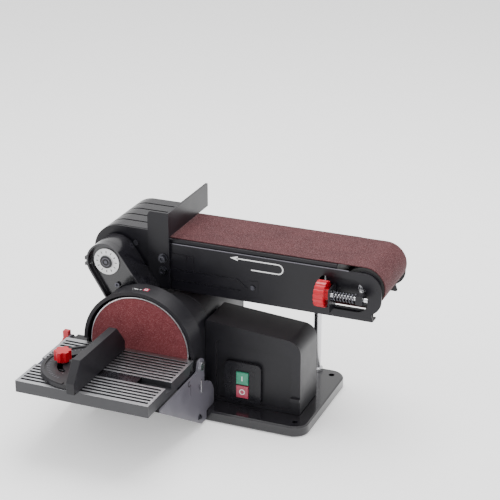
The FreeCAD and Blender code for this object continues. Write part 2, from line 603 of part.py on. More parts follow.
def make_switch():
    front_y, depth = -58, 64
    shell = cut(prism("XZ", [switch_profile(0)], depth, front_y),
                [prism("XZ", [switch_profile(3)], depth, front_y + 8)])
    bezel_recess = prism("XZ", [rounded([(38, 19, 6), (152, 19, 6), (152, 104, 6), (38, 111, 6)])],
                         3, front_y)
    opening = box((46, 14, 56), ("switch_x - 23", front_y - 2, "switch_z - 28"))
    ledge = box((14, 8, 5), (152.2, front_y - 4, 36))
    back = prism("XZ", [switch_profile(0)], 3, front_y + depth)
    node("switch_housing", cut(fuse([shell, back, ledge]), [bezel_recess, opening]))
    bezel_outer = rounded([(52, 19.5, 7), (108, 19.5, 7), (108, 82, 7), (52, 82, 7)])
    bezel = cut(prism("XZ", [bezel_outer], 6, front_y - 3.2),
                [box((36.2, 20, 46.2), ("switch_x - 18.1", front_y - 8, "switch_z - 23.1"))])
    node("switch_bezel", bezel)
    plate = box((36, 22, 46), ("switch_x - 18", front_y - 2, "switch_z - 23"))
    wells = [box(("button_width + 0.6", 16, "button_height + 0.6"),
                 ("switch_x - button_width / 2 - 0.3", front_y - 3, z)) for z in (27.4, 48.4)]
    node("switch_block", cut(plate, wells))
    for label, z in (("start_button", 48.7), ("stop_button", 27.7)):
        node(label, box(("button_width", 11, "button_height"),
                        ("switch_x - button_width / 2", front_y - 4.6, z)))
    node("cable_gland", cut(fuse([rod(8, 10, (150, 9.1, 40), "y"), rod(6, 14, (150, 19, 40), "y")]),
                            [rod(3.6, 40, (150, 0, 40), "y")]))


# Supports and fasteners -------------------------------------------------------

def make_supports():
    node("support_post", fuse([rod("post_radius", 166.9, ("post_x", "post_y + 0.6", "base_height + 0.1")),
                               rod(9, 5, ("post_x", "post_y + 0.6", "base_height + 0.1"))]))
    screws = [socket_screw((x, -100.1, 8.5), "y", 3.8, 2.2, 0.05, 2.6) for x in (31.9, -159.6)]
    screws += [socket_screw((x, -130, z), "y", 3.6, 1.8, 0.1, 2.4) for x, z in ((-124, 30), (24, 30))]
    arm_x, arm_z = size("drum_x") + 16, size("drum_z") - 33
    screws += [socket_screw((x, -83.2, z), "y", 3.6, 1.8, 0.1, 3)
               for x, z in ((arm_x, arm_z), (-66, 140))]
    node("housing_screws", group(screws))


make_base()
make_motor()
make_disc()
make_guard()
make_table()
make_mitre()
make_drive()
make_belt_frame()
make_drum_cover()
make_drum()
make_idler()
make_tracking()
make_work_stop()
make_tension_lever()
make_switch()
make_supports()

doc.recompute()
for item in doc.Objects:
    if "Invalid" in item.State or "Error" in item.State:
        raise RuntimeError("feature failed: " + item.Label)

os.makedirs("parts", exist_ok=True)
for item in NODES:
    shape = item.Shape
    if shape.isNull() or not shape.isValid() or shape.Volume <= 0:
        raise RuntimeError("bad shape: " + item.Label)
    shape.exportStep("parts/%s.step" % item.Label)
    print("%-22s solids %d volume %.0f" % (item.Label, len(shape.Solids), shape.Volume))
print(len(NODES), "nodes")
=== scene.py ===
"""The finished look of a bench belt and disc sander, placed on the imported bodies."""
import json
import math

import bmesh
import bpy
from mathutils import Matrix, Vector


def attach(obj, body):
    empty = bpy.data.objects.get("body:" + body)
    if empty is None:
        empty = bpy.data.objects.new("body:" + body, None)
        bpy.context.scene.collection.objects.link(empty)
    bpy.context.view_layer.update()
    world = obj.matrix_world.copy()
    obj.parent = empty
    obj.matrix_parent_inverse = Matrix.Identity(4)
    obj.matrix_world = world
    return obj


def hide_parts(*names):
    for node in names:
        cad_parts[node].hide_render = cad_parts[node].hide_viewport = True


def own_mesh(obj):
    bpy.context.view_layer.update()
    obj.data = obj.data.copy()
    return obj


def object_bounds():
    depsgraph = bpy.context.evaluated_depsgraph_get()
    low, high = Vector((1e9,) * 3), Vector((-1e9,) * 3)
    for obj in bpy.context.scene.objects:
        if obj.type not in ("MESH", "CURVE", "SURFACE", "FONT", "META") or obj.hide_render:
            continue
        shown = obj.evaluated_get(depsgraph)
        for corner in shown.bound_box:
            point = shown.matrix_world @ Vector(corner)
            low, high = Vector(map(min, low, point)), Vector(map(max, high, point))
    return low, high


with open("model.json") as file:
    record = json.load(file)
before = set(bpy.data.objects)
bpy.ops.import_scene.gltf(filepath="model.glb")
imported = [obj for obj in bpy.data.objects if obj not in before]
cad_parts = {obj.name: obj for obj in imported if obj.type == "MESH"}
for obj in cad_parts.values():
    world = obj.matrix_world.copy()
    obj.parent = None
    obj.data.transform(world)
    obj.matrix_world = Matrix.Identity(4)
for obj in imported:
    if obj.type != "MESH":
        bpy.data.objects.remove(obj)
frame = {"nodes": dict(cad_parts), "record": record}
cad_box = [list(corner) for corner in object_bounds()]
MM = 0.001
BODY_OF = {n: body for body, names in frame["record"]["behaviour"]["bodies"].items() for n in names}
SLOT_OF = {row["node"]: row["material_slot"] for row in frame["record"]["subparts"]}

SPINDLE_X, SPINDLE_Z = -50, 111.5
DRUM_X, DRUM_Z = -118, 214
TABLE_TOP_Z = 108.2
FRAME_FACE_Y = -38.4


def group_tree(name, inputs, outputs, kind="ShaderNodeTree"):
    """A node group with its named sockets; a socket whose value is None keeps its own default."""
    tree = bpy.data.node_groups.new(name, kind)
    for label, socket_type, value in inputs:
        socket = tree.interface.new_socket(name=label, in_out="INPUT", socket_type=socket_type)
        if value is not None:
            socket.default_value = value
    for label, socket_type in outputs:
        tree.interface.new_socket(name=label, in_out="OUTPUT", socket_type=socket_type)
    start = tree.nodes.new("NodeGroupInput")
    end = tree.nodes.new("NodeGroupOutput")
    return tree, start, end


def add(tree, kind, **values):
    item = tree.nodes.new(kind)
    for key, value in values.items():
        setattr(item, key, value)
    return item


def math_node(tree, operation, first, second=None, clamp=False):
    item = add(tree, "ShaderNodeMath", operation=operation, use_clamp=clamp)
    for index, value in enumerate((first, second)):
        if value is None:
            continue
        if isinstance(value, bpy.types.NodeSocket):
            tree.links.new(value, item.inputs[index])
        else:
            item.inputs[index].default_value = value
    return item.outputs[0]


def noise_node(tree, vector, scale, detail=3.0, roughness=0.6):
    item = add(tree, "ShaderNodeTexNoise")
    tree.links.new(vector, item.inputs["Vector"])
    if isinstance(scale, bpy.types.NodeSocket):
        tree.links.new(scale, item.inputs["Scale"])
    else:
        item.inputs["Scale"].default_value = scale
    item.inputs["Detail"].default_value = detail
    item.inputs["Roughness"].default_value = roughness
    return item.outputs["Fac"]


def make_skin():
    """Fine pimples and broad uneven patches of a moulded or powder coated skin."""
    tree, start, end = group_tree(
        "coat_skin",
        [("Vector", "NodeSocketVector", None), ("Pimple Scale", "NodeSocketFloat", 1400.0),
         ("Broad Scale", "NodeSocketFloat", 22.0)],
        [("Height", "NodeSocketFloat"), ("Broad", "NodeSocketFloat")])
    pimples = noise_node(tree, start.outputs["Vector"], start.outputs["Pimple Scale"], 2.0)
    broad = noise_node(tree, start.outputs["Vector"], start.outputs["Broad Scale"], 5.0, 0.65)
    tree.links.new(pimples, end.inputs["Height"])
    tree.links.new(broad, end.inputs["Broad"])
    return tree


def make_grit():
    """Crushed grains in their glue: a height for each grain and a speckle that picks the grains given a
    painted glint colour.
    """
    tree, start, end = group_tree(
        "abrasive_grit",
        [("Vector", "NodeSocketVector", None), ("Grain Scale", "NodeSocketFloat", 1500.0)],
        [("Height", "NodeSocketFloat"), ("Speckle", "NodeSocketFloat"), ("Patch", "NodeSocketFloat")])
    cells = add(tree, "ShaderNodeTexVoronoi", feature="F1")
    tree.links.new(start.outputs["Vector"], cells.inputs["Vector"])
    tree.links.new(start.outputs["Grain Scale"], cells.inputs["Scale"])
    split = add(tree, "ShaderNodeSeparateColor")
    tree.links.new(cells.outputs["Color"], split.inputs["Color"])
    height = math_node(tree, "SUBTRACT", 1.0, cells.outputs["Distance"], clamp=True)
    tree.links.new(height, end.inputs["Height"])
    tree.links.new(split.outputs[0], end.inputs["Speckle"])
    tree.links.new(noise_node(tree, start.outputs["Vector"], 30.0, 6.0, 0.7), end.inputs["Patch"])
    return tree


def make_tool_lines():
    """Fine straight or turned tool lines, drawn out along one direction."""
    tree, start, end = group_tree(
        "tool_lines",
        [("Vector", "NodeSocketVector", None), ("Stretch", "NodeSocketVector", (1.0, 1.0, 1.0)),
         ("Line Scale", "NodeSocketFloat", 900.0)],
        [("Height", "NodeSocketFloat"), ("Shade", "NodeSocketFloat")])
    stretched = add(tree, "ShaderNodeVectorMath", operation="MULTIPLY")
    tree.links.new(start.outputs["Vector"], stretched.inputs[0])
    tree.links.new(start.outputs["Stretch"], stretched.inputs[1])
    lines = noise_node(tree, stretched.outputs[0], start.outputs["Line Scale"], 3.0, 0.7)
    tree.links.new(lines, end.inputs["Height"])
    tree.links.new(noise_node(tree, stretched.outputs[0], 60.0, 4.0, 0.6), end.inputs["Shade"])
    return tree


def make_dust():
    """A thin settled dust that shows on faces looking up, in patches."""
    tree, start, end = group_tree(
        "settled_dust",
        [("Vector", "NodeSocketVector", None), ("Amount", "NodeSocketFloat", 0.2)],
        [("Mask", "NodeSocketFloat")])
    geometry = add(tree, "ShaderNodeNewGeometry")
    split = add(tree, "ShaderNodeSeparateXYZ")
    tree.links.new(geometry.outputs["Normal"], split.inputs[0])
    up = math_node(tree, "POWER", math_node(tree, "MAXIMUM", split.outputs["Z"], 0.0), 3.0)
    patch = noise_node(tree, start.outputs["Vector"], 35.0, 6.0, 0.7)
    dusty = math_node(tree, "MULTIPLY", up, patch)
    mask = math_node(tree, "MULTIPLY", dusty, start.outputs["Amount"], clamp=True)
    tree.links.new(mask, end.inputs["Mask"])
    return tree


SKIN = make_skin()
GRIT = make_grit()
LINES = make_tool_lines()
DUST = make_dust()
LACQUER_ROUGHNESS = 0.12
NOISE_LOW, NOISE_HIGH = 0.3, 0.7


class Finish:
    """One material: its tree, its shader and the Object coordinates that its patterns read."""

    def __init__(self, name, colour, roughness, metallic=0.0, coat=0.0, specular=0.5):
        self.material = bpy.data.materials.new(name)
        self.material.use_nodes = True
        self.material.diffuse_color = (*colour, 1.0)
        self.tree = self.material.node_tree
        self.shader = self.tree.nodes["Principled BSDF"]
        self.shader.inputs["Metallic"].default_value = metallic
        self.shader.inputs["Roughness"].default_value = roughness
        self.shader.inputs["Coat Weight"].default_value = coat
        self.shader.inputs["Coat Roughness"].default_value = LACQUER_ROUGHNESS
        self.shader.inputs["Specular IOR Level"].default_value = specular
        self.shader.inputs["Base Color"].default_value = (*colour, 1.0)
        self.place = add(self.tree, "ShaderNodeTexCoord").outputs["Object"]

    def group(self, tree, **values):
        """A shader group placed in this material; broad_scale=2.0 sets its input Broad Scale."""
        item = add(self.tree, "ShaderNodeGroup", node_tree=tree)
        self.tree.links.new(values.pop("vector", self.place), item.inputs["Vector"])
        for key, value in values.items():
            item.inputs[key.replace("_", " ").title()].default_value = value
        return item

    def mix(self, mask, low, high):
        item = add(self.tree, "ShaderNodeMix", data_type="RGBA")
        self.tree.links.new(mask, item.inputs["Factor"])
        colours = [s for s in item.inputs if s.type == "RGBA"]
        for socket, value in zip(colours, (low, high)):
            if isinstance(value, bpy.types.NodeSocket):
                self.tree.links.new(value, socket)
            else:
                socket.default_value = (*value, 1.0)
        return [s for s in item.outputs if s.type == "RGBA"][0]

    def spread(self, value, low, high):
        """The middle stretch of a noise, widened to run from low to high."""
        item = add(self.tree, "ShaderNodeMapRange")
        self.tree.links.new(value, item.inputs["Value"])
        item.inputs["From Min"].default_value = NOISE_LOW
        item.inputs["From Max"].default_value = NOISE_HIGH
        item.inputs["To Min"].default_value = low
        item.inputs["To Max"].default_value = high
        return item.outputs["Result"]

    def bump(self, height, strength, depth):
        item = add(self.tree, "ShaderNodeBump")
        item.inputs["Strength"].default_value = strength
        item.inputs["Distance"].default_value = depth
        self.tree.links.new(height, item.inputs["Height"])
        self.tree.links.new(item.outputs["Normal"], self.shader.inputs["Normal"])

    def colour(self, socket):
        self.tree.links.new(socket, self.shader.inputs["Base Color"])

    def rough(self, socket):
        self.tree.links.new(socket, self.shader.inputs["Roughness"])


DUST_COLOUR = (0.22, 0.20, 0.20)
PIMPLE_HEIGHT, TOOL_LINE_HEIGHT, GRAIN_HEIGHT = 0.0002, 0.0001, 0.00025


def coated(name, colour, lighter, roughness, pimple, strength, dust=0.12, coat=0.0, specular=0.5):
    """Paint or moulded plastic, lighter in patches, with dust on faces that look up."""
    finish = Finish(name, colour, roughness[0], coat=coat, specular=specular)
    skin = finish.group(SKIN, pimple_scale=pimple)
    tone = finish.mix(finish.spread(skin.outputs["Broad"], 0.0, 1.0), colour, lighter)
    settled = finish.group(DUST, amount=dust)
    finish.colour(finish.mix(settled.outputs["Mask"], tone, DUST_COLOUR))
    finish.rough(finish.spread(skin.outputs["Broad"], *roughness))
    finish.bump(skin.outputs["Height"], strength, PIMPLE_HEIGHT)
    return finish.material


def metal(name, colour, darker, roughness, stretch, line_scale=900.0, strength=0.12):
    """Bare or plated metal with tool lines drawn out where stretch is small."""
    finish = Finish(name, colour, roughness[0], 1.0)
    lines = finish.group(LINES, stretch=stretch, line_scale=line_scale)
    finish.colour(finish.mix(finish.spread(lines.outputs["Shade"], 0.0, 1.0), darker, colour))
    finish.rough(finish.spread(lines.outputs["Height"], *roughness))
    finish.bump(lines.outputs["Height"], strength, TOOL_LINE_HEIGHT)
    return finish.material


def abrasive(name, dark, light, painted_glint):
    """Coated abrasive: dull grains in their glue, and a few of them painted lighter as a painted glint, a
    painted highlight.
    """
    finish = Finish(name, dark, 0.82, specular=0.25)
    grit = finish.group(GRIT, grain_scale=1700.0)
    tone = finish.mix(finish.spread(grit.outputs["Patch"], 0.0, 1.0), dark, light)
    # a few grains take the third colour: a painted glint, painted highlight in the base colour
    painted_glint_mask = math_node(finish.tree, "POWER", grit.outputs["Speckle"], 7.0)
    finish.colour(finish.mix(painted_glint_mask, tone, painted_glint))
    finish.rough(finish.spread(grit.outputs["Speckle"], 0.9, 0.66))
    finish.bump(grit.outputs["Height"], 0.5, GRAIN_HEIGHT)
    return finish.material


def turned(name, colour, darker, centre_x, centre_z):
    """Metal turned on a lathe: rings about an axis along Y."""
    finish = Finish(name, colour, 0.3, 1.0)
    tree = finish.tree
    shift = add(tree, "ShaderNodeVectorMath", operation="SUBTRACT")
    tree.links.new(finish.place, shift.inputs[0])
    shift.inputs[1].default_value = (centre_x * MM, 0.0, centre_z * MM)
    flat = add(tree, "ShaderNodeVectorMath", operation="MULTIPLY")
    tree.links.new(shift.outputs[0], flat.inputs[0])
    flat.inputs[1].default_value = (1.0, 0.0, 1.0)
    radius = add(tree, "ShaderNodeVectorMath", operation="LENGTH")
    tree.links.new(flat.outputs[0], radius.inputs[0])
    along = add(tree, "ShaderNodeCombineXYZ")
    tree.links.new(radius.outputs["Value"], along.inputs["X"])
    lines = finish.group(LINES, vector=along.outputs[0], line_scale=2500.0)
    finish.colour(finish.mix(finish.spread(lines.outputs["Height"], 0.0, 1.0), darker, colour))
    finish.rough(finish.spread(lines.outputs["Height"], 0.2, 0.42))
    finish.bump(lines.outputs["Height"], 0.15, TOOL_LINE_HEIGHT)
    return finish.material


def ribbed_table():
    """Machined aluminium on the rib tops, black paint in the grooves and on the sides."""
    tip_depth, least_upward = 0.5, 0.5
    finish = Finish("table_ribs", (0.7, 0.7, 0.72), 0.35)
    tree = finish.tree
    split = add(tree, "ShaderNodeSeparateXYZ")
    tree.links.new(finish.place, split.inputs[0])
    facing = add(tree, "ShaderNodeSeparateXYZ")
    tree.links.new(add(tree, "ShaderNodeNewGeometry").outputs["Normal"], facing.inputs[0])
    high = math_node(tree, "GREATER_THAN", split.outputs["Z"], (TABLE_TOP_Z - tip_depth) * MM)
    level = math_node(tree, "GREATER_THAN", facing.outputs["Z"], least_upward)
    mask = math_node(tree, "MULTIPLY", high, level)
    lines = finish.group(LINES, stretch=(0.05, 1.0, 1.0), line_scale=1100.0)
    milled = finish.spread(lines.outputs["Shade"], 0.0, 1.0)
    bright = finish.mix(milled, (0.34, 0.34, 0.36), (0.55, 0.55, 0.57))
    skin = finish.group(SKIN)
    paint = finish.mix(skin.outputs["Broad"], (0.012, 0.012, 0.015), (0.03, 0.03, 0.034))
    finish.colour(finish.mix(mask, paint, bright))
    tree.links.new(mask, finish.shader.inputs["Metallic"])
    finish.rough(finish.spread(lines.outputs["Height"], 0.28, 0.46))
    finish.bump(lines.outputs["Height"], 0.1, TOOL_LINE_HEIGHT)
    return finish.material


BLACK = (0.0045, 0.0042, 0.0062)
BLACK_WORN = (0.0085, 0.0080, 0.0110)
COATS = {
    "cast_black": coated(
        "cast_black", BLACK, BLACK_WORN, (0.16, 0.28),
        pimple=900.0, strength=0.10, dust=0.05, coat=0.35),
    "sheet_black": coated(
        "sheet_black", BLACK, BLACK_WORN, (0.26, 0.38),
        pimple=1500.0, strength=0.08, dust=0.05, specular=0.30),
    "black_plastic": coated(
        "black_plastic", (0.0055, 0.0052, 0.0072), (0.0105, 0.0100, 0.0130), (0.34, 0.46),
        pimple=2200.0, strength=0.2, dust=0.06, specular=0.33),
    "gloss_black": coated(
        "gloss_black", (0.004, 0.004, 0.006), (0.008, 0.0075, 0.0105), (0.20, 0.32),
        pimple=1200.0, strength=0.05, dust=0.05, specular=0.35),
    "grey_sheet": coated(
        "grey_sheet", (0.075, 0.072, 0.088), (0.105, 0.10, 0.12), (0.34, 0.46),
        pimple=1300.0, strength=0.08),
    "red_plastic": coated(
        "red_plastic", (0.40, 0.002, 0.010), (0.50, 0.005, 0.018), (0.24, 0.34),
        pimple=900.0, strength=0.05, dust=0.0, coat=0.2, specular=0.4),
    "white_plastic": coated(
        "white_plastic", (0.70, 0.70, 0.71), (0.82, 0.82, 0.82), (0.40, 0.50),
        pimple=1500.0, strength=0.05, dust=0.0),
    "green_plastic": coated(
        "green_plastic", (0.010, 0.16, 0.09), (0.03, 0.25, 0.15), (0.22, 0.30),
        pimple=700.0, strength=0.05, dust=0.0, coat=0.4),
    "stop_plastic": coated(
        "stop_plastic", (0.30, 0.020, 0.055), (0.42, 0.05, 0.09), (0.22, 0.30),
        pimple=700.0, strength=0.05, dust=0.0, coat=0.4),
    "rubber_black": coated(
        "rubber_black", (0.012, 0.012, 0.012), (0.025, 0.025, 0.025), (0.70, 0.85),
        pimple=1500.0, strength=0.3),
    "table_aluminium": ribbed_table(),
    "disc_aluminium": turned(
        "disc_aluminium", (0.86, 0.86, 0.88), (0.62, 0.62, 0.65), SPINDLE_X, SPINDLE_Z),
    "dark_steel": metal(
        "dark_steel", (0.13, 0.13, 0.15), (0.05, 0.05, 0.06), (0.22, 0.36),
        stretch=(1.0, 1.0, 0.1), line_scale=500.0, strength=0.05),
    "steel": metal(
        "steel", (0.62, 0.62, 0.64), (0.42, 0.42, 0.44), (0.25, 0.42), stretch=(1.0, 0.06, 1.0)),
    "zinc_steel": metal(
        "zinc_steel", (0.78, 0.78, 0.80), (0.60, 0.60, 0.62), (0.14, 0.26),
        stretch=(1.0, 1.0, 0.1), line_scale=500.0, strength=0.05),
    "lamination": metal(
        "lamination", (0.30, 0.29, 0.30), (0.16, 0.15, 0.15), (0.4, 0.6),
        stretch=(0.05, 1.0, 0.05), line_scale=1600.0, strength=0.4),
    # the third colour of each abrasive is its painted glint, a painted highlight on a few grains
    "abrasive_belt": abrasive(
        "abrasive_belt", (0.046, 0.012, 0.014), (0.070, 0.020, 0.022), (0.20, 0.085, 0.09)),
    "abrasive_disc": abrasive(
        "abrasive_disc", (0.100, 0.017, 0.021), (0.145, 0.028, 0.032), (0.30, 0.10, 0.11)),
}


def linked_object(name, mesh):
    item = bpy.data.objects.new(name, mesh)
    bpy.context.scene.collection.objects.link(item)
    return item


def settled_mesh(item, name):
    """The evaluated mesh of an object as a plain mesh of its own, and the object is removed."""
    bpy.context.view_layer.update()
    shape = item.evaluated_get(bpy.context.evaluated_depsgraph_get())
    mesh = bpy.data.meshes.new_from_object(shape)
    mesh.name = name
    bpy.data.objects.remove(item)
    return mesh


def finish_piece(name, mesh, body, slot, *nodes):
    """A piece with its coat and its body; it stands for the nodes that are given."""
    piece = linked_object(name, mesh)
    if not mesh.materials:
        mesh.materials.append(COATS[slot])
    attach(piece, body)
    if nodes:
        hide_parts(*nodes)
    return piece


SHARP_DEGREES, BEVEL_DEGREES = 32, 38
MERGE_DISTANCE, FLAT_DEGREES = 2e-6, 0.4
BEVEL_SEGMENTS = 2


def smooth_by_angle(mesh):
    for face in mesh.polygons:
        face.use_smooth = True
    mesh.set_sharp_from_angle(angle=math.radians(SHARP_DEGREES))


def soften(node, edge_mm):
    """A merged copy of a node with its hard edges rounded, standing for the node."""
    mesh = frame["nodes"][node].data.copy()
    mesh.materials.clear()
    if "custom_normal" in mesh.attributes:
        mesh.attributes.remove(mesh.attributes["custom_normal"])
    work = bmesh.new()
    work.from_mesh(mesh)
    bmesh.ops.remove_doubles(work, verts=work.verts, dist=MERGE_DISTANCE)
    bmesh.ops.dissolve_limit(work, angle_limit=math.radians(FLAT_DEGREES),
                             verts=work.verts, edges=work.edges)
    work.to_mesh(mesh)
    work.free()
    smooth_by_angle(mesh)
    item = linked_object(node + "_work", mesh)
    if edge_mm:
        bevel = item.modifiers.new("edges", "BEVEL")
        bevel.limit_method = "ANGLE"
        bevel.angle_limit = math.radians(BEVEL_DEGREES)
        bevel.width = edge_mm * MM
        bevel.segments = BEVEL_SEGMENTS
        bevel.use_clamp_overlap = True
        bevel.harden_normals = True
    mesh = settled_mesh(item, node + "_mesh")
    return finish_piece(node + "_skin", mesh, BODY_OF[node], SLOT_OF[node], node)


# width of the rounded edge of each node that shows, none where the node stays sharp
BROAD, PRESSED, FINE = 0.45, 0.4, 0.3
EDGES_MM = {
    "base_plate": BROAD, "motor_housing": BROAD, "motor_front_cover": BROAD, "motor_rear_cover": BROAD,
    "disc_guard": BROAD, "table_top": 0.25, "table_brackets": FINE, "table_support_right": PRESSED,
    "table_support_left": PRESSED, "mitre_bar": PRESSED, "mitre_head": BROAD, "mitre_fence": BROAD,
    "mitre_knob": BROAD, "tilt_lock_knob": BROAD, "drive_housing": BROAD, "drive_cover": BROAD,
    "angle_dial": FINE, "clamp_screw": FINE, "belt_frame": BROAD, "platen": FINE,
    "rest_bracket": PRESSED, "drum_cover": BROAD, "end_plate": BROAD, "drum_shaft": FINE,
    "drive_drum": PRESSED, "abrasive_belt": 0.0, "idler_yoke": PRESSED, "idler_bracket": PRESSED,
    "idler_roller": PRESSED, "tracking_knob": BROAD, "tracking_screw": FINE, "tracking_bracket": PRESSED,
    "work_stop": 0.35, "frame_screws": 0.25, "tension_lever": PRESSED, "switch_housing": BROAD,
    "switch_bezel": BROAD, "start_button": BROAD, "stop_button": BROAD, "cable_gland": BROAD,
    "support_post": PRESSED, "housing_screws": 0.2, "rubber_feet": BROAD, "disc_plate": FINE,
    "abrasive_disc": 0.0, "tilt_index": 0.2, "tracking_spring": 0.0,
}
skins = {name: soften(name, edge_width) for name, edge_width in EDGES_MM.items()}
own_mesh(skins["tracking_spring"])

# the other nodes show as they are, in their coats
for node_name, node_object in frame["nodes"].items():
    if node_name in EDGES_MM:
        continue
    node_object.data.materials.clear()
    node_object.data.materials.append(COATS[SLOT_OF[node_name]])
    for face in node_object.data.polygons:
        face.material_index = 0


# printed marks, ribs and small detail
def marks_tree():
    """Bars laid round an arc in the plane Z = 0, each pointing to the middle of the arc."""
    tree, start, end = group_tree(
        "bars_round_an_arc",
        [("Count", "NodeSocketInt", 12), ("Radius", "NodeSocketFloat", 0.01),
         ("Start", "NodeSocketFloat", 0.0), ("Step", "NodeSocketFloat", 0.5),
         ("Length", "NodeSocketFloat", 0.002), ("Width", "NodeSocketFloat", 0.0005),
         ("Depth", "NodeSocketFloat", 0.0001), ("Coat", "NodeSocketMaterial", None)],
        [("Geometry", "NodeSocketGeometry")], "GeometryNodeTree")
    index = add(tree, "GeometryNodeInputIndex").outputs[0]
    steps = math_node(tree, "MULTIPLY", index, start.outputs["Step"])
    turn = math_node(tree, "ADD", steps, start.outputs["Start"])
    spot = add(tree, "ShaderNodeCombineXYZ")
    across = math_node(tree, "MULTIPLY", math_node(tree, "COSINE", turn), start.outputs["Radius"])
    up = math_node(tree, "MULTIPLY", math_node(tree, "SINE", turn), start.outputs["Radius"])
    tree.links.new(across, spot.inputs[0])
    tree.links.new(up, spot.inputs[1])
    points = add(tree, "GeometryNodePoints")
    tree.links.new(start.outputs["Count"], points.inputs["Count"])
    tree.links.new(spot.outputs[0], points.inputs["Position"])
    size = add(tree, "ShaderNodeCombineXYZ")
    for slot_index, label in enumerate(("Length", "Width", "Depth")):
        tree.links.new(start.outputs[label], size.inputs[slot_index])
    bar = add(tree, "GeometryNodeMeshCube")
    tree.links.new(size.outputs[0], bar.inputs["Size"])
    heading = add(tree, "ShaderNodeCombineXYZ")
    tree.links.new(turn, heading.inputs["Z"])
    copies = add(tree, "GeometryNodeInstanceOnPoints")
    tree.links.new(points.outputs[0], copies.inputs["Points"])
    tree.links.new(bar.outputs["Mesh"], copies.inputs["Instance"])
    tree.links.new(heading.outputs[0], copies.inputs["Rotation"])
    real = add(tree, "GeometryNodeRealizeInstances")
    tree.links.new(copies.outputs[0], real.inputs[0])
    coat = add(tree, "GeometryNodeSetMaterial")
    tree.links.new(real.outputs[0], coat.inputs["Geometry"])
    tree.links.new(start.outputs["Coat"], coat.inputs["Material"])
    tree.links.new(coat.outputs[0], end.inputs["Geometry"])
    return tree


MARKS = marks_tree()
FACE_FRONT = Matrix(((1, 0, 0, 0), (0, 0, -1, 0), (0, 1, 0, 0), (0, 0, 0, 1)))
FACE_UP = Matrix.Identity(4)
FACE_RIGHT = Matrix(((0, 0, 1, 0), (1, 0, 0, 0), (0, 1, 0, 0), (0, 0, 0, 1)))


def at(place_mm, facing=FACE_UP):
    """The place of a flat mark and the way that its face looks."""
    return Matrix.Translation(Vector(place_mm) * MM) @ facing


def bars(name, body, coat, place, count, radius, start, step, length, width, depth):
    """Bars round an arc, sizes in millimetres and angles in degrees."""
    item = linked_object(name + "_work", bpy.data.meshes.new(name + "_seed"))
    grower = item.modifiers.new("bars", "NODES")
    grower.node_group = MARKS
    values = {"Count": count, "Radius": radius * MM,
              "Start": math.radians(start), "Step": math.radians(step),
              "Length": length * MM, "Width": width * MM, "Depth": depth * MM, "Coat": COATS[coat]}
    for socket in MARKS.interface.items_tree:
        if socket.in_out == "INPUT":
            grower[socket.identifier] = values[socket.name]
    mesh = settled_mesh(item, name + "_mesh")
    mesh.transform(place)
    return finish_piece(name, mesh, body, coat)


def plate(name, body, coat, place, loops, depth):
    """Flat shapes in the plane Z = 0, raised by depth; outlines in millimetres."""
    work = bmesh.new()
    for loop in loops:
        face = work.faces.new([work.verts.new((x * MM, y * MM, 0.0)) for x, y in loop])
        grown = bmesh.ops.extrude_face_region(work, geom=[face])
        for vert in [v for v in grown["geom"] if isinstance(v, bmesh.types.BMVert)]:
            vert.co.z += depth * MM
    bmesh.ops.recalc_face_normals(work, faces=work.faces)
    bmesh.ops.triangulate(work, faces=work.faces)
    mesh = bpy.data.meshes.new(name + "_mesh")
    work.to_mesh(mesh)
    work.free()
    mesh.transform(place)
    smooth_by_angle(mesh)
    return finish_piece(name, mesh, body, coat)


def arc(centre_x, centre_y, radius, first, last, steps=14):
    """Points on an arc, angles in degrees."""
    turns = [math.radians(first + (last - first) * i / steps) for i in range(steps + 1)]
    return [(centre_x + radius * math.cos(turn), centre_y + radius * math.sin(turn)) for turn in turns]


def band(centre_x, centre_y, inner, outer, first, last, steps=24):
    """The outline of a strip bent round an arc."""
    out = arc(centre_x, centre_y, outer, first, last, steps)
    return out + arc(centre_x, centre_y, inner, last, first, steps)


def ring(inner, outer):
    """A ring with a hair gap, so that its outline stays one loop."""
    return band(0, 0, inner, outer, 0, 352, 44)


def round_outline(radius, steps=36):
    return arc(0, 0, radius, 0, 360 - 360 / steps, steps - 1)


def round_bar(name, body, coat, start, end, radius):
    """A straight round bar between two points in millimetres."""
    first, last = Vector(start) * MM, Vector(end) * MM
    work = bmesh.new()
    turn = (last - first).to_track_quat("Z", "Y").to_matrix().to_4x4()
    place = Matrix.Translation((first + last) / 2) @ turn
    bmesh.ops.create_cone(work, cap_ends=True, segments=20, radius1=radius * MM, radius2=radius * MM,
                          depth=(last - first).length, matrix=place)
    mesh = bpy.data.meshes.new(name + "_mesh")
    work.to_mesh(mesh)
    work.free()
    smooth_by_angle(mesh)
    return finish_piece(name, mesh, body, coat)


def slab(left, right, low, high):
    """The outline of a rectangle."""
    return [(left, low), (right, low), (right, high), (left, high)]


PRINT_DEPTH = 0.12
FRAME_FRONT = at((0, FRAME_FACE_Y, 0), FACE_FRONT)

# belt direction arrow on the belt frame: a U turn that ends in a head pointing left
ARROW_TOP, ARROW_LOW, ARROW_HALF_LINE = 230.4, 216.4, 0.85
ARROW_TIP_X, ARROW_HEAD_X, ARROW_TAIL_X, ARROW_BEND_X = 52, 64, 84, 124
ARROW_HEAD_HALF, ARROW_OVERLAP = 3.4, 2
ARROW_MIDDLE = (ARROW_TOP + ARROW_LOW) / 2
ARROW_RADIUS = (ARROW_TOP - ARROW_LOW) / 2
plate("belt_arrow", "belt_arm", "white_plastic", FRAME_FRONT, [
    slab(ARROW_HEAD_X - ARROW_OVERLAP, ARROW_BEND_X,
         ARROW_TOP - ARROW_HALF_LINE, ARROW_TOP + ARROW_HALF_LINE),
    slab(ARROW_TAIL_X, ARROW_BEND_X, ARROW_LOW - ARROW_HALF_LINE, ARROW_LOW + ARROW_HALF_LINE),
    band(ARROW_BEND_X, ARROW_MIDDLE,
         ARROW_RADIUS - ARROW_HALF_LINE, ARROW_RADIUS + ARROW_HALF_LINE, 90, -90),
    [(ARROW_TIP_X, ARROW_TOP), (ARROW_HEAD_X, ARROW_TOP - ARROW_HEAD_HALF),
     (ARROW_HEAD_X, ARROW_TOP + ARROW_HEAD_HALF)],
], PRINT_DEPTH)

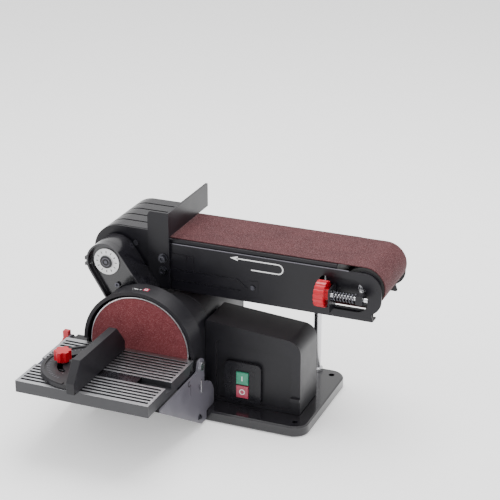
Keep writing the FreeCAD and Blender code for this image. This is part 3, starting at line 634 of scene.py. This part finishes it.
# angle dial: tick marks on the white ring, and the dark hub in its middle with a ring and a pin
DIAL_FRONT_Y, HUB_FRONT_Y = -82.2, -83.6
HUB_RADIUS, HUB_PIN_RADIUS, HUB_DEPTH = 9.5, 2.4, 0.3
DIAL_TICKS = 12
HUB_FACE = at((DRUM_X, HUB_FRONT_Y - HUB_DEPTH, DRUM_Z), FACE_FRONT)
bars("dial_ticks", "base", "rubber_black", at((DRUM_X, DIAL_FRONT_Y, DRUM_Z), FACE_FRONT),
     count=DIAL_TICKS, radius=14.4, start=0, step=360 / DIAL_TICKS, length=3.4, width=1.1, depth=0.3)
plate("dial_hub", "base", "gloss_black", at((DRUM_X, HUB_FRONT_Y, DRUM_Z), FACE_FRONT),
      [round_outline(HUB_RADIUS)], HUB_DEPTH)
plate("dial_hub_ring", "base", "grey_sheet", HUB_FACE, [ring(5.2, 6.4)], 0.8)
plate("dial_hub_pin", "base", "dark_steel", HUB_FACE, [round_outline(HUB_PIN_RADIUS)], 0.9)

# push button symbols: a bar to start and a ring to stop
BUTTON_X, BUTTON_FACE_Y, START_Z, STOP_Z = 80, -62.6, 58.2, 37.2
SYMBOL_DEPTH = 0.15
plate("start_symbol", "start", "white_plastic", at((BUTTON_X, BUTTON_FACE_Y, START_Z), FACE_FRONT),
      [slab(-0.7, 0.7, -3.6, 3.6)], SYMBOL_DEPTH)
plate("stop_symbol", "stop", "white_plastic", at((BUTTON_X, BUTTON_FACE_Y, STOP_Z), FACE_FRONT),
      [ring(3.0, 4.3)], SYMBOL_DEPTH)

# label with its round arrow, dashes and small screw on the top of the disc guard
GUARD_TOP_Z = 192.95
LABEL_X, LABEL_Y, LABEL_HALF, LABEL_DEPTH = -44, -107.5, 4, 0.5
SCREW_SUNK = 1.8
plate("guard_label", "base", "stop_plastic", at((LABEL_X, LABEL_Y, GUARD_TOP_Z)),
      [slab(-LABEL_HALF, LABEL_HALF, -LABEL_HALF, LABEL_HALF)], LABEL_DEPTH)
plate("guard_label_arrow", "base", "white_plastic", at((LABEL_X, LABEL_Y, GUARD_TOP_Z + 0.6)),
      [band(0, 0, 1.7, 2.6, 30, 300, 20), [(0.4, -2.9), (3.4, -2.1), (1.2, -0.4)]], PRINT_DEPTH)
plate("guard_dashes", "base", "white_plastic", at((-54, -110, GUARD_TOP_Z)),
      [slab(-7, -1, -0.5, 0.5), slab(1, 4, -0.5, 0.5)], LABEL_DEPTH + PRINT_DEPTH)
plate("guard_screw", "base", "zinc_steel", at((-63, -109, GUARD_TOP_Z - SCREW_SUNK)),
      [round_outline(2.1)], SCREW_SUNK + 0.4)

# mitre gauge: raised rim and scale
MITRE_PIVOT = (-92, -207)
MITRE_RIM_CENTRE = (-88, MITRE_PIVOT[1])
HEAD_TOP_Z = TABLE_TOP_Z + 6.4
plate("mitre_rim", "mitre_gauge", "black_plastic", at((*MITRE_RIM_CENTRE, HEAD_TOP_Z)),
      [band(0, 0, 56.5, 61.2, 94, 266, 40)], 1.3)
bars("mitre_scale", "mitre_gauge", "grey_sheet", at((*MITRE_PIVOT, HEAD_TOP_Z)),
     count=25, radius=48, start=108, step=6, length=4.2, width=0.8, depth=0.3)

# belt frame: pressed rails, raised pad with its screw, tab and rolled top edge, coloured lighter grey as a
# painted highlight
RAIL_LEFT, RAIL_DEPTH = -36, 0.9
UPPER_RAIL, LOWER_RAIL = (198.4, 199.9), (182.2, 183.6)
RAIL_BEND_X, LOWER_RAIL_END = 64, 68
PAD_X, PAD_Z, PAD_HALF_WIDTH, PAD_DEPTH = 87, 190.5, 7.5, 0.8
TOP_EDGE_Y, TOP_EDGE_Z, TOP_EDGE_END = FRAME_FACE_Y + 0.7, 237.0, 226
plate("frame_rails", "belt_arm", "gloss_black", FRAME_FRONT,
      [slab(RAIL_LEFT, RAIL_BEND_X, *UPPER_RAIL),
       [(RAIL_BEND_X, UPPER_RAIL[0]), (77, 187.6), (78.4, 188.6), (64.6, UPPER_RAIL[1])],
       slab(RAIL_LEFT, LOWER_RAIL_END, *LOWER_RAIL)], RAIL_DEPTH)
plate("frame_pad", "belt_arm", "sheet_black", FRAME_FRONT,
      [slab(PAD_X - PAD_HALF_WIDTH, PAD_X + PAD_HALF_WIDTH, 182, 200)], PAD_DEPTH)
plate("frame_pad_screw", "belt_arm", "dark_steel", at((PAD_X, FRAME_FACE_Y - PAD_DEPTH, PAD_Z), FACE_FRONT),
      [round_outline(3.4)], 2.0)
plate("frame_tab", "belt_arm", "sheet_black", FRAME_FRONT, [slab(-14, -3, 200, 222)], 1.0)
# the rolled top edge is a round bar in the lighter grey coat: a painted highlight along the edge
round_bar("frame_top_highlight_rod", "belt_arm", "grey_sheet", (RAIL_LEFT, TOP_EDGE_Y, TOP_EDGE_Z),
          (TOP_EDGE_END, TOP_EDGE_Y, TOP_EDGE_Z), 0.8)

# right table support: index line, hook slot and foot screw on its washer
SUPPORT_FACE_X, WASHER_DEPTH = 39, 0.8
FOOT_Y, FOOT_Z = -119, 17
SUPPORT_FACE = at((SUPPORT_FACE_X, 0, 0), FACE_RIGHT)
plate("support_index", "base", "black_plastic", SUPPORT_FACE, [slab(-147.4, -146.6, 64, 82)], PRINT_DEPTH)
plate("support_hook", "base", "black_plastic", SUPPORT_FACE,
      [band(-151, 84, 2.6, 4.4, 60, 320, 20)], PRINT_DEPTH)
plate("support_foot_washer", "base", "dark_steel", at((SUPPORT_FACE_X, FOOT_Y, FOOT_Z), FACE_RIGHT),
      [round_outline(4.6)], WASHER_DEPTH)
plate("support_foot_screw", "base", "dark_steel",
      at((SUPPORT_FACE_X + WASHER_DEPTH, FOOT_Y, FOOT_Z), FACE_RIGHT), [round_outline(3)], 2.2)

# idler window: a bright washer where the tracking screw meets its bracket
plate("tracking_washer", "belt_arm", "zinc_steel", at((208.45, -54, 206), FACE_RIGHT),
      [ring(3.4, 7.4)], 0.1)

# camera, floor and lights
CAMERA_PLACE = Vector((0.803, -1.806, 1.033))
CAMERA_YAW = math.radians(-22.18)
CAMERA_PITCH = math.radians(22.40)
CAMERA_LENS, SENSOR_WIDTH = 107.9, 36
forward = Vector((math.sin(CAMERA_YAW) * math.cos(CAMERA_PITCH),
                  math.cos(CAMERA_YAW) * math.cos(CAMERA_PITCH), -math.sin(CAMERA_PITCH)))
camera_data = bpy.data.cameras.new("camera")
camera_data.lens = CAMERA_LENS
camera_data.sensor_width = SENSOR_WIDTH
camera = linked_object("camera", camera_data)
camera.location = CAMERA_PLACE
camera.rotation_euler = forward.to_track_quat("-Z", "Y").to_euler()
bpy.context.scene.camera = camera
LIGHT_AIM = Vector((0.0, 0.0, 0.12))


def soft_light(name, place, width, height, power):
    """A rectangle of light that looks at the middle of the machine."""
    data = bpy.data.lights.new(name, "AREA")
    data.shape = "RECTANGLE"
    data.size = width
    data.size_y = height
    data.energy = power
    item = linked_object(name, data)
    item.location = place
    item.rotation_euler = (LIGHT_AIM - Vector(place)).to_track_quat("-Z", "Y").to_euler()


soft_light("overhead", (0.1, 0.5, 1.9), 1.8, 1.4, 46)
soft_light("left_panel", (-1.7, -1.0, 1.0), 1.2, 1.4, 14)
soft_light("front_panel", (1.2, -2.2, 1.5), 1.6, 1.2, 12)

FLOOR_HALF, FLOOR_GLOW, ROOM_LIGHT = 6.0, 0.35, 1.25
floor_z = cad_box[0][2]
corners = slab(-FLOOR_HALF, FLOOR_HALF, -FLOOR_HALF, FLOOR_HALF)
floor_mesh = bpy.data.meshes.new("floor")
floor_mesh.from_pydata([(x, y, floor_z) for x, y in corners], [], [(0, 1, 2, 3)])
floor = linked_object("floor", floor_mesh)
floor_finish = Finish("floor_paper", (0.93, 0.93, 0.93), 0.9, specular=0.1)
floor_finish.shader.inputs["Emission Color"].default_value = (1.0, 1.0, 1.0, 1.0)
floor_finish.shader.inputs["Emission Strength"].default_value = FLOOR_GLOW
floor_mesh.materials.append(floor_finish.material)

world = bpy.data.worlds.new("room")
world.use_nodes = True
world.node_tree.nodes["Background"].inputs["Color"].default_value = (1.0, 1.0, 1.0, 1.0)
world.node_tree.nodes["Background"].inputs["Strength"].default_value = ROOM_LIGHT
bpy.context.scene.world = world
